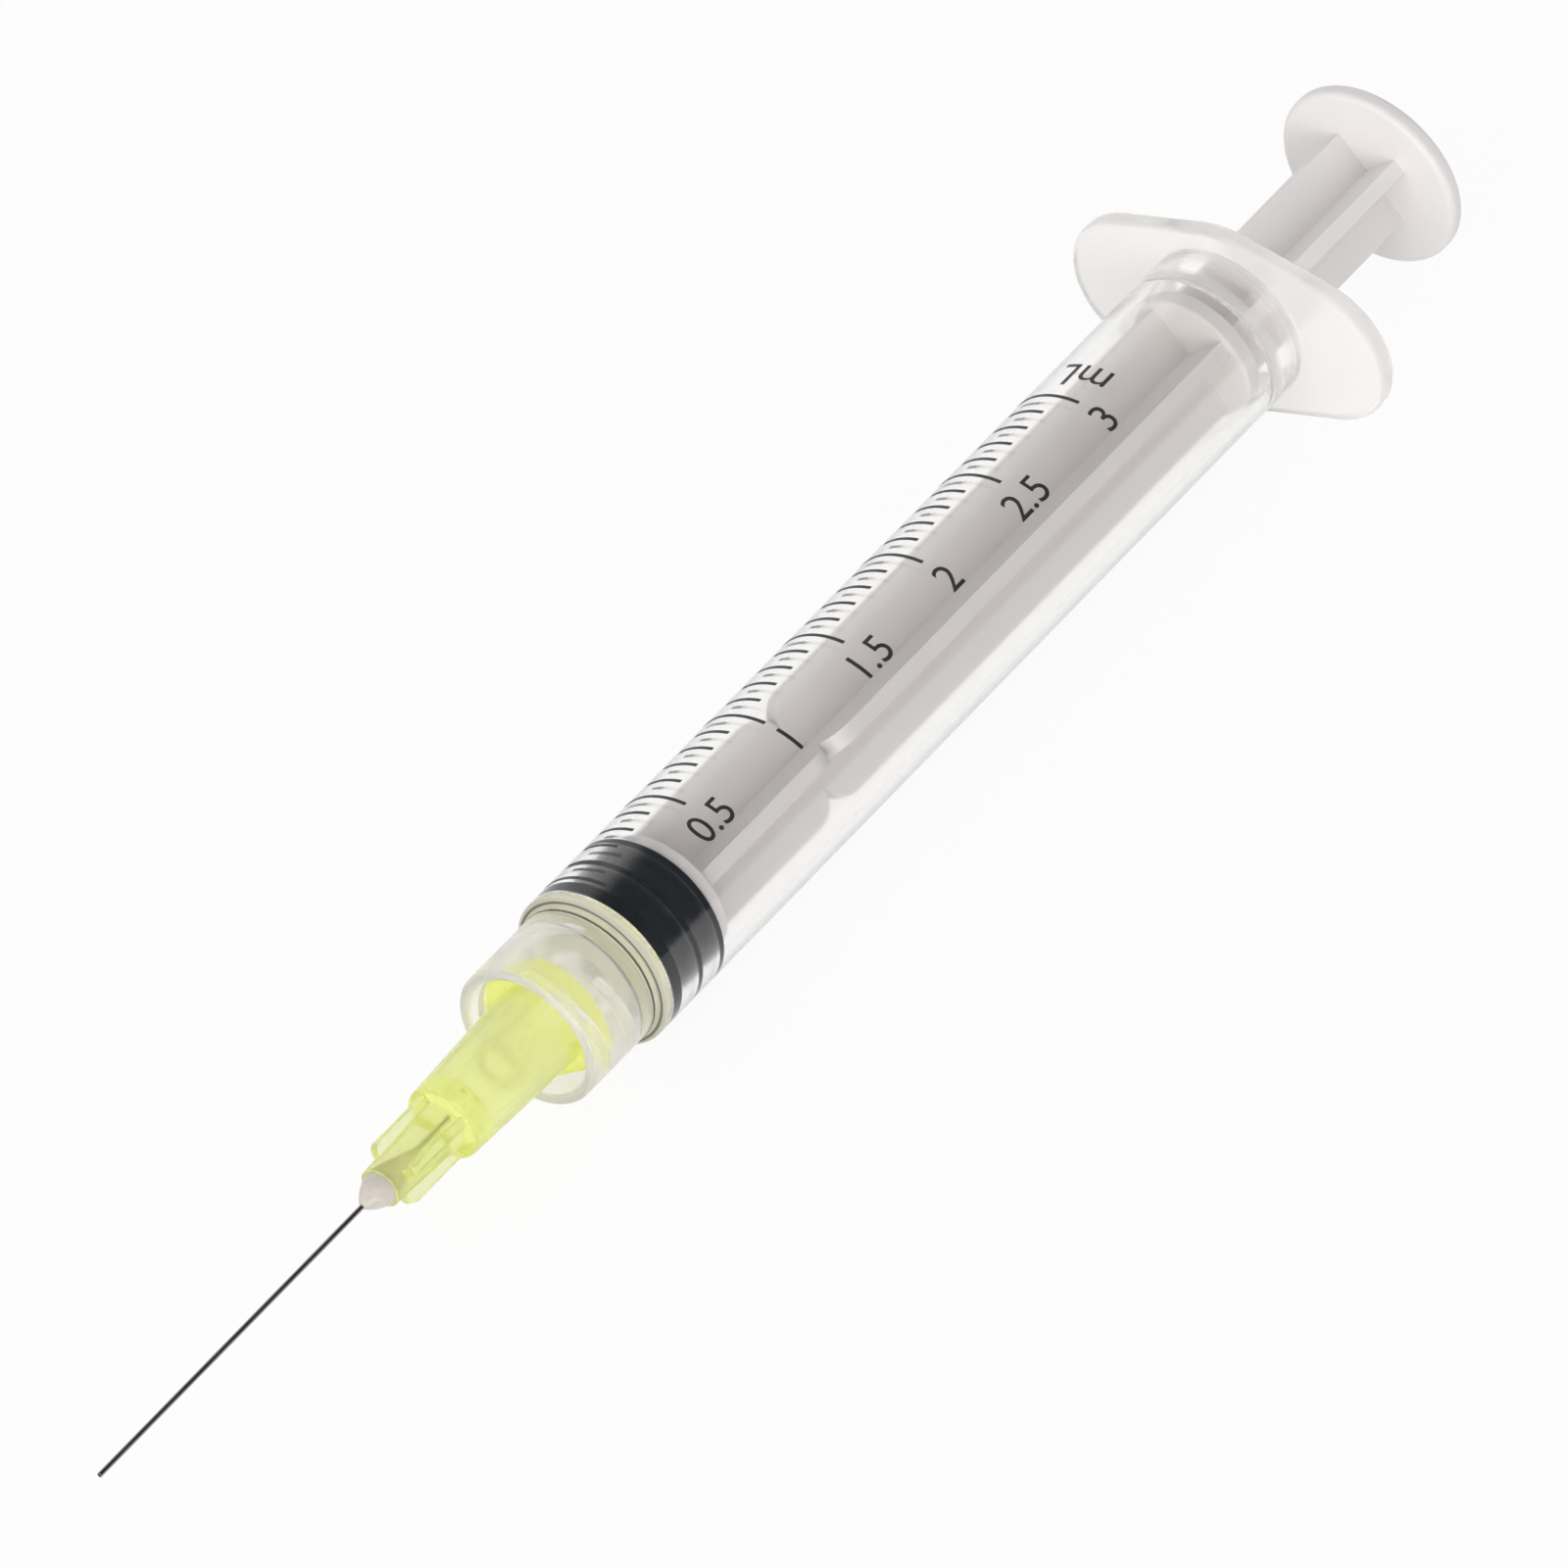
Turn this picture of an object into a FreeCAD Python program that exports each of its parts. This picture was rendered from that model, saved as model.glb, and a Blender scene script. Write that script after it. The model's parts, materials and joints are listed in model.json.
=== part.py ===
"""Three-piece lock-fit irrigation syringe with a blunt needle on a finned hub.

Units are millimetres. The syringe lies along X: the needle points to -X and the
thumb rest is at +X. The origin is on the axis, at the front face of the finger
flange, and the flange's wings point to -Y and +Y. The plunger is fully forward.
"""
import FreeCAD, Part
import math
import os

from FreeCAD import Vector

os.makedirs("parts", exist_ok=True)

AXIS = Vector(1, 0, 0)
ORIGIN = Vector(0, 0, 0)

# Barrel tube
BARREL_BORE_R = 4.485
BARREL_WALL = 0.74
BARREL_LENGTH = 64.0
SHOULDER_ROUND = 0.3
MOUTH_CHAMFER = 0.3

# Finger flange: a round middle and two rounded wings joined by straight edges
FLANGE_THICKNESS = 1.2
FLANGE_HALF_SPAN = 11.05
FLANGE_MIDDLE_R = 6.5
FLANGE_TIP_R = 5.0
FLANGE_EDGE_ROUND = 0.35

# Retaining bead inside the mouth, which the stopper can't pass
BEAD_HEIGHT = 0.18
BEAD_WIDTH = 0.9
BEAD_INSET = 2.3

# Front wall, male taper and lock collar
FRONT_WALL = 1.1
CHAMBER_END_INSET = 1.05
CHAMBER_CONE_ANGLE = 17.0
TAPER_TIP_R = 1.98
TAPER_SLOPE = 0.03
TAPER_PROJECTION = 2.8
TAPER_TIP_ROUND = 0.25
FLUID_BORE_R = 1.05
COLLAR_LENGTH = 6.4
COLLAR_OUTER_R = 4.7
COLLAR_BORE_R = 4.05
COLLAR_RIM_ROUND = 0.22
COLLAR_ROOT_ROUND = 0.35

# Stopper
STOPPER_LENGTH = 5.15
STOPPER_SQUEEZE_GAP = 0.02
STOPPER_CORE_R = 3.75
STOPPER_FRONT_RIB = 0.95
STOPPER_RIB = 0.6
STOPPER_RIB_COUNT = 3
STOPPER_RIB_ROUND = 0.14
STOPPER_FRONT_GAP = 0.05
STOPPER_NOSE_TIP_R = 1.25

# Plunger rod head, held in the stopper
HEAD_R = 2.35
HEAD_LENGTH = 1.5
NECK_R = 1.5
NECK_LENGTH = 1.4
HEAD_GAP = 0.05
HEAD_CHAMFER = 0.5

# Plunger rod: four fins, two guide discs, break notches and thumb rest
ROD_TURN = 53.5
FIN_COUNT = 4
FIN_THICKNESS = 0.95
FIN_OUTER_R = 3.7
REAR_FIN_OUTER_R = 3.25
DISC_R = 4.12
DISC_EDGE_ROUND = 0.2
FRONT_DISC_THICKNESS = 1.05
DISC_SEAT_GAP = 0.05
REAR_DISC_THICKNESS = 1.2
REAR_DISC_TO_BEAD = 0.25
NOTCH_FROM_SHOULDER = 20.4
NOTCH_DEPTH = 1.75
NOTCH_FLANK_R = 1.85
THUMB_GAP = 13.2
THUMB_R = 6.05
THUMB_THICKNESS = 1.15
THUMB_EDGE_ROUND = 0.4
THUMB_GROOVE_COUNT = 3
THUMB_GROOVE_WIDTH = 0.5
THUMB_GROOVE_DEPTH = 0.15

# Needle hub
HUB_SEAT_GAP = 0.015
HUB_ENGAGEMENT = 5.35
HUB_SOCKET_DEPTH = 9.1
HUB_BODY_FRONT_R = 2.45
HUB_BODY_REAR_R = 2.86
HUB_BODY_LENGTH = 10.85
HUB_NOSE_LENGTH = 6.0
HUB_NOSE_FRONT_R = 1.3
HUB_NOSE_REAR_R = 1.6
HUB_STEP_ROUND = 0.3
HUB_FIN_COUNT = 4
HUB_FIN_OUTER_R = 2.1
HUB_FIN_THICKNESS = 0.6
HUB_FIN_SETBACK = 1.0
HUB_FIN_ROUND = 0.55
HUB_TURN = 59.5
LUG_OUTER_R = 3.9
LUG_THICKNESS = 1.3
LUG_FLAT_HALF_WIDTH = 3.35
LUG_EDGE_ROUND = 0.2
HUB_THROAT_R = 0.5
HUB_THROAT_LENGTH = 1.3

# Cannula and its adhesive
CANNULA_R = 0.155
CANNULA_BORE_R = 0.08
CANNULA_EXPOSED = 25.4
CANNULA_IN_HUB = 8.2
CANNULA_STANDOFF = 0.02
# The glued end is blasted rough, which takes this off its radius, and fades in ahead of the bead
CANNULA_SEAT_DEPTH = 0.005
CANNULA_SEAT_FADE = 0.65
GLUE_BEAD_R = 1.12
GLUE_BEAD_LENGTH = 1.8
GLUE_WELL_R = 0.8
GLUE_WELL_DEPTH = 3.2

# Places along X
SHOULDER_X = -BARREL_LENGTH
FLANGE_REAR_X = FLANGE_THICKNESS
COLLAR_RIM_X = SHOULDER_X - COLLAR_LENGTH
CHAMBER_END_X = SHOULDER_X + CHAMBER_END_INSET
CONE_DEPTH = (BARREL_BORE_R - FLUID_BORE_R) * math.tan(math.radians(CHAMBER_CONE_ANGLE))
COLLAR_FLOOR_X = CHAMBER_END_X - CONE_DEPTH - FRONT_WALL
TAPER_TIP_X = COLLAR_RIM_X - TAPER_PROJECTION
HUB_MOUTH_X = TAPER_TIP_X + HUB_ENGAGEMENT
HUB_SOCKET_END_X = HUB_MOUTH_X - HUB_SOCKET_DEPTH
HUB_STEP_X = HUB_MOUTH_X - HUB_BODY_LENGTH
HUB_NOSE_X = HUB_STEP_X - HUB_NOSE_LENGTH
BEAD_TIP_X = HUB_NOSE_X - GLUE_BEAD_LENGTH
CANNULA_TIP_X = BEAD_TIP_X - CANNULA_EXPOSED
CANNULA_FADE_X = BEAD_TIP_X - CANNULA_SEAT_FADE
CANNULA_REAR_X = BEAD_TIP_X + CANNULA_IN_HUB
BEAD_X = -BEAD_INSET
STOPPER_X = CHAMBER_END_X + STOPPER_FRONT_GAP
STOPPER_REAR_X = STOPPER_X + STOPPER_LENGTH
HEAD_X = STOPPER_REAR_X - NECK_LENGTH - HEAD_LENGTH
FRONT_DISC_X = STOPPER_REAR_X + DISC_SEAT_GAP
REAR_DISC_REAR_X = BEAD_X - BEAD_WIDTH / 2 - REAR_DISC_TO_BEAD
REAR_DISC_X = REAR_DISC_REAR_X - REAR_DISC_THICKNESS
THUMB_X = FLANGE_REAR_X + THUMB_GAP
THUMB_REAR_X = THUMB_X + THUMB_THICKNESS
NOTCH_X = SHOULDER_X + NOTCH_FROM_SHOULDER

# Radii that follow from a fit
BARREL_OUTER_R = BARREL_BORE_R + BARREL_WALL
STOPPER_SEAL_R = BARREL_BORE_R - STOPPER_SQUEEZE_GAP
HEAD_SOCKET_R = HEAD_R + HEAD_GAP
NECK_SOCKET_R = NECK_R + HEAD_GAP
THROAT_NEEDLE_R = CANNULA_R + CANNULA_STANDOFF
CANNULA_SEAT_R = CANNULA_R - CANNULA_SEAT_DEPTH


def taper_r(x):
    """Radius of the male taper at x."""
    return TAPER_TIP_R + TAPER_SLOPE * (x - TAPER_TIP_X)


def turned(points):
    """Solid of revolution about the X axis from a closed (x, r) outline."""
    corners = [Vector(x, r, 0) for x, r in points]
    return Part.Face(Part.makePolygon(corners + [corners[0]])).revolve(ORIGIN, AXIS, 360)


def disc(x, radius, thickness):
    """Round plate whose front face is at x."""
    return Part.makeCylinder(radius, thickness, Vector(x, 0, 0), AXIS)


def ring_edges(shape, x, radius):
    """Circular edges about the X axis at a given place and radius."""
    found = []
    for edge in shape.Edges:
        curve = edge.Curve
        if not isinstance(curve, Part.Circle):
            continue
        centre = curve.Center
        on_axis = math.hypot(centre.y, centre.z) < 1e-4
        if on_axis and abs(centre.x - x) < 1e-4 and abs(curve.Radius - radius) < 1e-4:
            found.append(edge)
    return found


def round_rings(shape, radius, places):
    """Fillet the circular edges at each (x, radius) place."""
    edges = []
    for x, ring_r in places:
        edges += ring_edges(shape, x, ring_r)
    return shape.makeFillet(radius, edges)


def turned_about_axis(shape, angle):
    """Copy of a shape turned about the X axis, +Z towards -Y."""
    copy = shape.copy()
    copy.rotate(ORIGIN, AXIS, angle)
    return copy


def flange_plate():
    """Finger flange: middle circle, two tip circles and their common tangents."""
    reach = FLANGE_HALF_SPAN - FLANGE_TIP_R
    sine = (FLANGE_MIDDLE_R - FLANGE_TIP_R) / reach
    lean = math.asin(sine)

    def rim_point(centre_y, radius, angle):
        return Vector(0, centre_y + radius * math.sin(angle), radius * math.cos(angle))

    edges = []
    middle_top = [rim_point(0, FLANGE_MIDDLE_R, a) for a in (-lean, 0, lean)]
    tip = [rim_point(reach, FLANGE_TIP_R, a) for a in (lean, math.pi / 2, math.pi - lean)]
    middle_bottom = [Vector(0, p.y, -p.z) for p in reversed(middle_top)]
    far_tip = [Vector(0, -p.y, -p.z) for p in tip]
    edges.append(Part.Arc(*middle_top).toShape())
    edges.append(Part.LineSegment(middle_top[2], tip[0]).toShape())
    edges.append(Part.Arc(*tip).toShape())
    edges.append(Part.LineSegment(tip[2], middle_bottom[0]).toShape())
    edges.append(Part.Arc(*middle_bottom).toShape())
    edges.append(Part.LineSegment(middle_bottom[2], far_tip[0]).toShape())
    edges.append(Part.Arc(*far_tip).toShape())
    edges.append(Part.LineSegment(far_tip[2], middle_top[0]).toShape())
    plate = Part.Face(Part.Wire(edges)).extrude(Vector(FLANGE_THICKNESS, 0, 0))
    rim = []
    for edge in plate.Edges:
        box = edge.BoundBox
        if box.XLength < 1e-4:
            rim.append(edge)
    return plate.makeFillet(FLANGE_EDGE_ROUND, rim)


def make_barrel():
    """One moulding: tube, front wall, male taper, lock collar, flange and bead."""
    tube = turned([
        (COLLAR_FLOOR_X, 0), (COLLAR_FLOOR_X, COLLAR_OUTER_R), (SHOULDER_X, COLLAR_OUTER_R),
        (SHOULDER_X, BARREL_OUTER_R), (FLANGE_REAR_X / 2, BARREL_OUTER_R), (FLANGE_REAR_X / 2, 0),
    ])
    tube = round_rings(tube, SHOULDER_ROUND, [(SHOULDER_X, BARREL_OUTER_R)])
    body = tube.fuse(flange_plate()).removeSplitter()

    # The chamber runs from its cone end to the mouth, and the bead stands in it.
    cone_tip_x = CHAMBER_END_X - CONE_DEPTH
    chamber = turned([
        (cone_tip_x, 0), (cone_tip_x, FLUID_BORE_R), (CHAMBER_END_X, BARREL_BORE_R),
        (BEAD_X - BEAD_WIDTH / 2, BARREL_BORE_R), (BEAD_X, BARREL_BORE_R - BEAD_HEIGHT),
        (BEAD_X + BEAD_WIDTH / 2, BARREL_BORE_R), (FLANGE_REAR_X - MOUTH_CHAMFER, BARREL_BORE_R),
        (FLANGE_REAR_X, BARREL_BORE_R + MOUTH_CHAMFER), (FLANGE_REAR_X, 0),
    ])
    body = body.cut(chamber)

    # The collar and the taper inside it stand on the front wall.
    collar = turned([
        (COLLAR_RIM_X, COLLAR_BORE_R), (COLLAR_RIM_X, COLLAR_OUTER_R),
        (COLLAR_FLOOR_X, COLLAR_OUTER_R), (COLLAR_FLOOR_X, COLLAR_BORE_R),
    ])
    collar = round_rings(collar, COLLAR_RIM_ROUND,
                         [(COLLAR_RIM_X, COLLAR_OUTER_R), (COLLAR_RIM_X, COLLAR_BORE_R)])
    taper = turned([
        (TAPER_TIP_X, 0), (TAPER_TIP_X, TAPER_TIP_R),
        (COLLAR_FLOOR_X, taper_r(COLLAR_FLOOR_X)), (COLLAR_FLOOR_X, 0),
    ])
    taper = round_rings(taper, TAPER_TIP_ROUND, [(TAPER_TIP_X, TAPER_TIP_R)])
    body = body.fuse([collar, taper]).removeSplitter()
    body = round_rings(body, COLLAR_ROOT_ROUND, [(COLLAR_FLOOR_X, COLLAR_BORE_R)])
    fluid_bore = Part.makeCylinder(FLUID_BORE_R, cone_tip_x - TAPER_TIP_X, Vector(TAPER_TIP_X, 0, 0), AXIS)
    return body.cut(fluid_bore)


def make_stopper():
    """Rubber stopper: sealing ribs, a shallow cone nose and a socket for the rod's head."""
    core = disc(STOPPER_X, STOPPER_CORE_R, STOPPER_LENGTH)
    nose_depth = (STOPPER_SEAL_R - STOPPER_NOSE_TIP_R) * math.tan(math.radians(CHAMBER_CONE_ANGLE))
    nose = turned([
        (STOPPER_X, 0), (STOPPER_X, STOPPER_SEAL_R),
        (STOPPER_X - nose_depth, STOPPER_NOSE_TIP_R), (STOPPER_X - nose_depth, 0),
    ])
    ribs = []
    pitch = (STOPPER_LENGTH - STOPPER_FRONT_RIB) / (STOPPER_RIB_COUNT - 1)
    for index in range(STOPPER_RIB_COUNT):
        width = STOPPER_FRONT_RIB if index == 0 else STOPPER_RIB
        rear_x = STOPPER_X + STOPPER_FRONT_RIB + index * pitch
        rib = disc(rear_x - width, STOPPER_SEAL_R, width)
        rounded = [(rear_x, STOPPER_SEAL_R)]
        if index > 0:
            rounded.append((rear_x - width, STOPPER_SEAL_R))
        ribs.append(round_rings(rib, STOPPER_RIB_ROUND, rounded))
    solid = core.fuse(ribs + [nose]).removeSplitter()

    front_x = HEAD_X - HEAD_GAP
    rear_x = HEAD_X + HEAD_LENGTH + HEAD_GAP
    socket = turned([
        (front_x, 0), (front_x, HEAD_SOCKET_R - HEAD_CHAMFER), (front_x + HEAD_CHAMFER, HEAD_SOCKET_R),
        (rear_x, HEAD_SOCKET_R), (rear_x, NECK_SOCKET_R),
        (STOPPER_REAR_X, NECK_SOCKET_R), (STOPPER_REAR_X, 0),
    ])
    return solid.cut(socket)


def fin_cross(start_x, end_x, radius):
    """Fins crossing on the axis, from start_x to end_x."""
    plates = []
    for index in range(FIN_COUNT // 2):
        plate = Part.makeBox(end_x - start_x, FIN_THICKNESS, 2 * radius,
                             Vector(start_x, -FIN_THICKNESS / 2, -radius))
        plates.append(turned_about_axis(plate, index * 360 / FIN_COUNT))
    return plates[0].fuse(plates[1:])


def notch_cutter():
    """Tool for one break notch: a V with bulging flanks, cut into a fin's edge."""
    bottom = FIN_OUTER_R - NOTCH_DEPTH
    flank = math.sqrt(NOTCH_FLANK_R ** 2 - (NOTCH_FLANK_R - NOTCH_DEPTH) ** 2)
    reach = Vector(0, 0, BARREL_BORE_R)
    root = Vector(0, 0, bottom)
    edges = []
    rims = []
    for side in (-1, 1):
        rim = Vector(side * flank, 0, FIN_OUTER_R)
        centre = Vector(side * flank, 0, FIN_OUTER_R - NOTCH_FLANK_R)
        middle = (root + rim) / 2 - centre
        middle = centre + middle.normalize() * NOTCH_FLANK_R
        edges.append(Part.Arc(root, middle, rim).toShape())
        rims.append(rim)
    tops = [Vector(rim.x, 0, reach.z) for rim in rims]
    edges.append(Part.LineSegment(rims[0], tops[0]).toShape())
    edges.append(Part.LineSegment(tops[0], tops[1]).toShape())
    edges.append(Part.LineSegment(tops[1], rims[1]).toShape())
    face = Part.Face(Part.Wire(Part.__sortEdges__(edges)))
    face.translate(Vector(NOTCH_X, -FIN_THICKNESS, 0))
    return face.extrude(Vector(0, 2 * FIN_THICKNESS, 0))


def thumb_rest():
    """Round thumb plate with shallow grip grooves in its rear face."""
    plate = disc(THUMB_X, THUMB_R, THUMB_THICKNESS)
    plate = round_rings(plate, THUMB_EDGE_ROUND, [(THUMB_X, THUMB_R), (THUMB_REAR_X, THUMB_R)])
    pitch = (THUMB_R - THUMB_EDGE_ROUND) / (THUMB_GROOVE_COUNT + 1)
    floor_x = THUMB_REAR_X - THUMB_GROOVE_DEPTH
    grooves = []
    for index in range(THUMB_GROOVE_COUNT):
        inner_r = pitch * (index + 1) - THUMB_GROOVE_WIDTH / 2
        groove = disc(floor_x, inner_r + THUMB_GROOVE_WIDTH, THUMB_GROOVE_DEPTH)
        grooves.append(groove.cut(disc(floor_x, inner_r, THUMB_GROOVE_DEPTH)))
    return plate.cut(grooves)


def make_plunger_rod():
    """One moulding: head and neck, guide discs, cross fins with notches, thumb rest."""
    head = turned([
        (HEAD_X, 0), (HEAD_X, HEAD_R - HEAD_CHAMFER), (HEAD_X + HEAD_CHAMFER, HEAD_R),
        (HEAD_X + HEAD_LENGTH, HEAD_R), (HEAD_X + HEAD_LENGTH, NECK_R),
        (FRONT_DISC_X, NECK_R), (FRONT_DISC_X, 0),
    ])
    pieces = [head]
    for x, thickness in ((FRONT_DISC_X, FRONT_DISC_THICKNESS), (REAR_DISC_X, REAR_DISC_THICKNESS)):
        plate = disc(x, DISC_R, thickness)
        pieces.append(round_rings(plate, DISC_EDGE_ROUND, [(x, DISC_R), (x + thickness, DISC_R)]))
    fins = fin_cross(FRONT_DISC_X + FRONT_DISC_THICKNESS / 2, REAR_DISC_X + REAR_DISC_THICKNESS / 2,
                     FIN_OUTER_R)
    cutter = notch_cutter()
    fins = fins.cut([turned_about_axis(cutter, index * 360 / FIN_COUNT) for index in range(FIN_COUNT)])
    pieces.append(fins)
    pieces.append(fin_cross(REAR_DISC_X + REAR_DISC_THICKNESS / 2, THUMB_X + THUMB_THICKNESS / 2,
                            REAR_FIN_OUTER_R))
    pieces.append(thumb_rest())
    rod = pieces[0].fuse(pieces[1:]).removeSplitter()
    return turned_about_axis(rod, ROD_TURN)


def hub_fin():
    """One stiffening fin on the hub's nose, with a rounded front corner."""
    start_x = HUB_NOSE_X + HUB_FIN_SETBACK
    plate = Part.makeBox(HUB_STEP_X - start_x, HUB_FIN_THICKNESS, HUB_FIN_OUTER_R,
                         Vector(start_x, -HUB_FIN_THICKNESS / 2, 0))
    corner = []
    for edge in plate.Edges:
        box = edge.BoundBox
        at_front = abs(box.XMax - start_x) < 1e-4
        if at_front and abs(box.ZMin - HUB_FIN_OUTER_R) < 1e-4:
            corner.append(edge)
    return plate.makeFillet(HUB_FIN_ROUND, corner)


def make_needle_hub():
    """One moulding: tapered socket body, two lugs, finned nose, throat and glue well."""
    body = turned([
        (HUB_NOSE_X, 0), (HUB_NOSE_X, HUB_NOSE_FRONT_R), (HUB_STEP_X, HUB_NOSE_REAR_R),
        (HUB_STEP_X, HUB_BODY_FRONT_R), (HUB_MOUTH_X, HUB_BODY_REAR_R), (HUB_MOUTH_X, 0),
    ])
    body = round_rings(body, HUB_STEP_ROUND, [(HUB_STEP_X, HUB_BODY_FRONT_R)])
    collar = disc(HUB_MOUTH_X - LUG_THICKNESS, LUG_OUTER_R, LUG_THICKNESS)
    collar = round_rings(collar, LUG_EDGE_ROUND,
                         [(HUB_MOUTH_X - LUG_THICKNESS, LUG_OUTER_R), (HUB_MOUTH_X, LUG_OUTER_R)])
    slab = Part.makeBox(LUG_THICKNESS, 2 * LUG_FLAT_HALF_WIDTH, 2 * LUG_OUTER_R,
                        Vector(HUB_MOUTH_X - LUG_THICKNESS, -LUG_FLAT_HALF_WIDTH, -LUG_OUTER_R))
    lugs = collar.common(slab)
    fins = [turned_about_axis(hub_fin(), index * 360 / HUB_FIN_COUNT) for index in range(HUB_FIN_COUNT)]
    solid = body.fuse([lugs] + fins).removeSplitter()

    throat_end_x = HUB_SOCKET_END_X - HUB_THROAT_LENGTH
    well_end_x = HUB_NOSE_X + GLUE_WELL_DEPTH
    hollow = turned([
        (HUB_NOSE_X, 0), (HUB_NOSE_X, GLUE_WELL_R), (well_end_x, THROAT_NEEDLE_R),
        (throat_end_x, THROAT_NEEDLE_R), (HUB_SOCKET_END_X, HUB_THROAT_R),
        (HUB_SOCKET_END_X, taper_r(HUB_SOCKET_END_X) + HUB_SEAT_GAP),
        (HUB_MOUTH_X, taper_r(HUB_MOUTH_X) + HUB_SEAT_GAP), (HUB_MOUTH_X, 0),
    ])
    return turned_about_axis(solid.cut(hollow), HUB_TURN)


def make_needle_glue():
    """Set adhesive: a domed bead on the nose and the plug that fills its well."""
    base = Vector(HUB_NOSE_X, GLUE_BEAD_R, 0)
    tip = Vector(BEAD_TIP_X, CANNULA_SEAT_R, 0)
    bulge = (base + tip) / 2 + Vector(-0.12, 0.1, 0) * GLUE_BEAD_R
    well_end_x = HUB_NOSE_X + GLUE_WELL_DEPTH
    outline = [
        Vector(HUB_NOSE_X, GLUE_WELL_R, 0), Vector(well_end_x, THROAT_NEEDLE_R, 0),
        Vector(well_end_x, CANNULA_SEAT_R, 0), tip,
    ]
    edges = [Part.LineSegment(a, b).toShape() for a, b in zip(outline, outline[1:])]
    edges.append(Part.Arc(tip, bulge, base).toShape())
    edges.append(Part.LineSegment(base, outline[0]).toShape())
    return Part.Face(Part.Wire(edges)).revolve(ORIGIN, AXIS, 360)


def make_cannula():
    """Thin steel tube, cut square at both ends, a little thinner where it is glued."""
    return turned([
        (CANNULA_TIP_X, CANNULA_BORE_R), (CANNULA_TIP_X, CANNULA_R),
        (CANNULA_FADE_X, CANNULA_R), (BEAD_TIP_X, CANNULA_SEAT_R),
        (CANNULA_REAR_X, CANNULA_SEAT_R), (CANNULA_REAR_X, CANNULA_BORE_R),
    ])


makers = {
    "barrel": make_barrel,
    "stopper": make_stopper,
    "plunger_rod": make_plunger_rod,
    "needle_hub": make_needle_hub,
    "needle_glue": make_needle_glue,
    "cannula": make_cannula,
}
for name, maker in makers.items():
    piece = maker()
    box = piece.BoundBox
    print(f"{name}: valid {piece.isValid()}, solids {len(piece.Solids)}, volume {piece.Volume:.2f}, "
          f"x {box.XMin:.2f} to {box.XMax:.2f}, radius {max(box.YMax, box.ZMax):.2f}")
    piece.exportStep(f"parts/{name}.step")
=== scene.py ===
import json
import math

import bmesh
import bpy
from mathutils import Matrix, Vector

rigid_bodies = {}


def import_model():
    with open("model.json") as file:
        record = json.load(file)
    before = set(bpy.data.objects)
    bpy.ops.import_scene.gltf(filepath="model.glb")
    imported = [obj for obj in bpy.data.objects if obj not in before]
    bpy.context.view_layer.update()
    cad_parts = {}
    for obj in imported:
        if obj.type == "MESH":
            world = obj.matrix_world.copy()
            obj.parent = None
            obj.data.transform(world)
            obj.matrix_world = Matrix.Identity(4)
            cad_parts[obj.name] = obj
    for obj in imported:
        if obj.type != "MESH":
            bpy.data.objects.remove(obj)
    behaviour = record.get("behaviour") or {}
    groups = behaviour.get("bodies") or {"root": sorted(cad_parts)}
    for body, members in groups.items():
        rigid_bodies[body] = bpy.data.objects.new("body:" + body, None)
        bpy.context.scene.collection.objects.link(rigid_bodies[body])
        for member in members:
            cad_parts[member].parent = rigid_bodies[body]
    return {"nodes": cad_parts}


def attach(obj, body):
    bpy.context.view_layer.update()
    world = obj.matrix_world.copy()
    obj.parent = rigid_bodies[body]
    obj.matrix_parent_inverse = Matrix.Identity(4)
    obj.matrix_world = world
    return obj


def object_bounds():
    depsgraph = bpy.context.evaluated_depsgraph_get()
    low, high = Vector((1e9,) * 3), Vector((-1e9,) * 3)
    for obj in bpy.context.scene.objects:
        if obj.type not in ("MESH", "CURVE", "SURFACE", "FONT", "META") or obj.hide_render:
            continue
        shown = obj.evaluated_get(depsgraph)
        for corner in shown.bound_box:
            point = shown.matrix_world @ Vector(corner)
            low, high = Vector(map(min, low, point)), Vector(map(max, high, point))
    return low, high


for leftOver in list(bpy.data.objects):
    bpy.data.objects.remove(leftOver)

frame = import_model()
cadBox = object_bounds()
nodes = frame["nodes"]
print("frame loaded:", ", ".join(sorted(nodes)))


# small helpers for node trees

def startMaterial(name):
    mat = bpy.data.materials.new(name)
    mat.use_nodes = True
    return mat, mat.node_tree, mat.node_tree.nodes["Principled BSDF"]


def addNode(tree, kind, **settings):
    node = tree.nodes.new(kind)
    for key, value in settings.items():
        setattr(node, key, value)
    return node


def setInputs(node, **values):
    for key, value in values.items():
        node.inputs[key.replace("_", " ")].default_value = value


def objectPoint(tree, stretch=(1.0, 1.0, 1.0)):
    coords = addNode(tree, "ShaderNodeTexCoord")
    mapping = addNode(tree, "ShaderNodeMapping")
    mapping.inputs["Scale"].default_value = stretch
    tree.links.new(coords.outputs["Object"], mapping.inputs["Vector"])
    return mapping.outputs["Vector"]


def noiseOn(tree, point, scale, detail=3.0, roughness=0.55):
    noise = addNode(tree, "ShaderNodeTexNoise")
    setInputs(noise, Scale=scale, Detail=detail, Roughness=roughness)
    tree.links.new(point, noise.inputs["Vector"])
    return noise.outputs["Fac"]


def remap(tree, value, fromLow, fromHigh, toLow, toHigh):
    node = addNode(tree, "ShaderNodeMapRange", interpolation_type="SMOOTHSTEP")
    node.inputs["From Min"].default_value = fromLow
    node.inputs["From Max"].default_value = fromHigh
    node.inputs["To Min"].default_value = toLow
    node.inputs["To Max"].default_value = toHigh
    tree.links.new(value, node.inputs["Value"])
    return node.outputs["Result"]


def spread(tree, noise, ends):
    # the middle of the noise's range is stretched from one end to the other
    return remap(tree, noise, 0.3, 0.7, *ends)


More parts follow.
